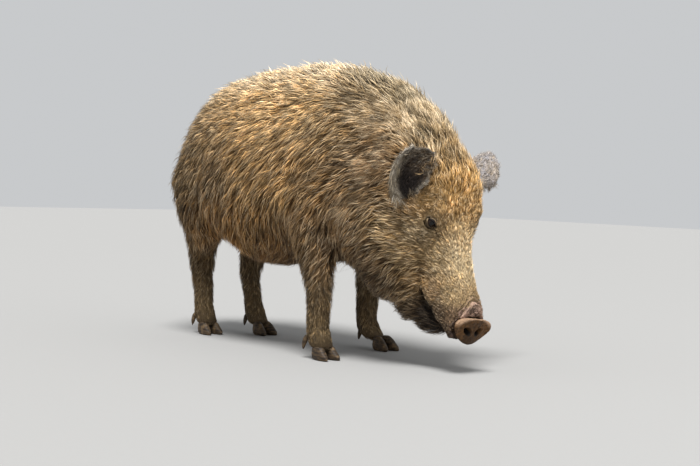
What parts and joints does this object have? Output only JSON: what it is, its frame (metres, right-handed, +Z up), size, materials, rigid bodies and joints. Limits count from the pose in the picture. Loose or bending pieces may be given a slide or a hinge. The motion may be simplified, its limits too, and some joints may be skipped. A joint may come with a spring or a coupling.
{
  "type": "wild boar",
  "caption": "Adult wild boar sow in a long shaggy coat, standing on four hooves with her head lowered and snout just above the ground.",
  "frame": {"origin": "middle of the ground under the animal: the bottom centre of its bounding box, at the level of the hoof soles", "axes": "+X the way she faces, along her length; +Y her left side; +Z up"},
  "size_m": [1.1968, 0.4378, 0.7837],
  "materials": {
    "coat": "coarse grizzled bristles, straw on the back, dark brown streaks with pale tips on the flanks",
    "face_coat": "short grey-tan hair, golden tan on the forehead, black at the chin",
    "leg_coat": "short dark grey-brown hair",
    "ear_hair": "dark inside, grey-white hair along the rim and on the back",
    "snout_skin": "bare muddy brown skin with a dusty pinkish rim",
    "horn": "dusty grey-brown hoof horn",
    "eye": "wet dark brown eyeball"
  },
  "bodies": {
    "root": {"cannon_fore_left": "leg_coat", "cannon_fore_right": "leg_coat", "cannon_hind_left": "leg_coat", "cannon_hind_right": "leg_coat", "dew_claw_fore_left_inner": "horn", "dew_claw_fore_left_outer": "horn", "dew_claw_fore_right_inner": "horn", "dew_claw_fore_right_outer": "horn", "dew_claw_hind_left_inner": "horn", "dew_claw_hind_left_outer": "horn", "dew_claw_hind_right_inner": "horn", "dew_claw_hind_right_outer": "horn", "ear_left": "ear_hair", "ear_right": "ear_hair", "eye_left": "eye", "eye_right": "eye", "forearm_fore_left": "leg_coat", "forearm_fore_right": "leg_coat", "gaskin_hind_left": "leg_coat", "gaskin_hind_right": "leg_coat", "head": "face_coat", "hoof_fore_left_inner": "horn", "hoof_fore_left_outer": "horn", "hoof_fore_right_inner": "horn", "hoof_fore_right_outer": "horn", "hoof_hind_left_inner": "horn", "hoof_hind_left_outer": "horn", "hoof_hind_right_inner": "horn", "hoof_hind_right_outer": "horn", "lower_jaw": "face_coat", "neck": "coat", "pastern_fore_left": "leg_coat", "pastern_fore_right": "leg_coat", "pastern_hind_left": "leg_coat", "pastern_hind_right": "leg_coat", "snout_disc": "snout_skin", "tail": "coat", "thigh_hind_left": "coat", "thigh_hind_right": "coat", "trunk": "coat", "upper_arm_fore_left": "coat", "upper_arm_fore_right": "coat"}
  },
  "joints": []
}
